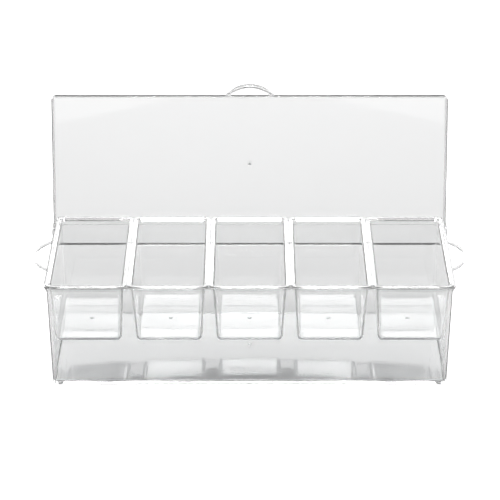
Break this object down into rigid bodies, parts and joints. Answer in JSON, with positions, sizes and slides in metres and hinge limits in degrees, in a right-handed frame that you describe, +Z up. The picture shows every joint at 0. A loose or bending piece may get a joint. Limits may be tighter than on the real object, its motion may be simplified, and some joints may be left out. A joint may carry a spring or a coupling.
{
  "type": "condiment caddy",
  "caption": "Clear chilled condiment caddy: an ice box with end handles, a row of lift-out containers and one hinged lid, shown open.",
  "frame": {"origin": "centre of the underside of the ice box", "axes": "+X along the row of containers towards the right-hand handle, +Y towards the hinge at the back, +Z up"},
  "size_m": [0.4346, 0.1972, 0.2455],
  "materials": {
    "clear_plastic": "gloss",
    "clear_containers": "gloss"
  },
  "bodies": {
    "root": {"ice_box": "clear_plastic", "handle_left": "clear_plastic", "handle_right": "clear_plastic", "hinge_pin_left": "clear_plastic", "hinge_pin_right": "clear_plastic"},
    "lid": {"lid": "clear_plastic", "lid_handle": "clear_plastic"},
    "container_1": {"container_1": "clear_containers"},
    "container_2": {"container_2": "clear_containers"},
    "container_3": {"container_3": "clear_containers"},
    "container_4": {"container_4": "clear_containers"},
    "container_5": {"container_5": "clear_containers"}
  },
  "joints": [
    {"name": "lid_hinge", "type": "hinge", "parent": "root", "child": "lid", "pos_m": [0, 0.0604, 0.10265], "axis": [-1, 0, 0], "range_deg": [-105.6, 0]},
    {"name": "container_1_lift", "type": "slide", "parent": "root", "child": "container_1", "axis": [0, 0, 1], "range_m": [0, 0.09]},
    {"name": "container_2_lift", "type": "slide", "parent": "root", "child": "container_2", "axis": [0, 0, 1], "range_m": [0, 0.09]},
    {"name": "container_3_lift", "type": "slide", "parent": "root", "child": "container_3", "axis": [0, 0, 1], "range_m": [0, 0.09]},
    {"name": "container_4_lift", "type": "slide", "parent": "root", "child": "container_4", "axis": [0, 0, 1], "range_m": [0, 0.09]},
    {"name": "container_5_lift", "type": "slide", "parent": "root", "child": "container_5", "axis": [0, 0, 1], "range_m": [0, 0.09]}
  ]
}
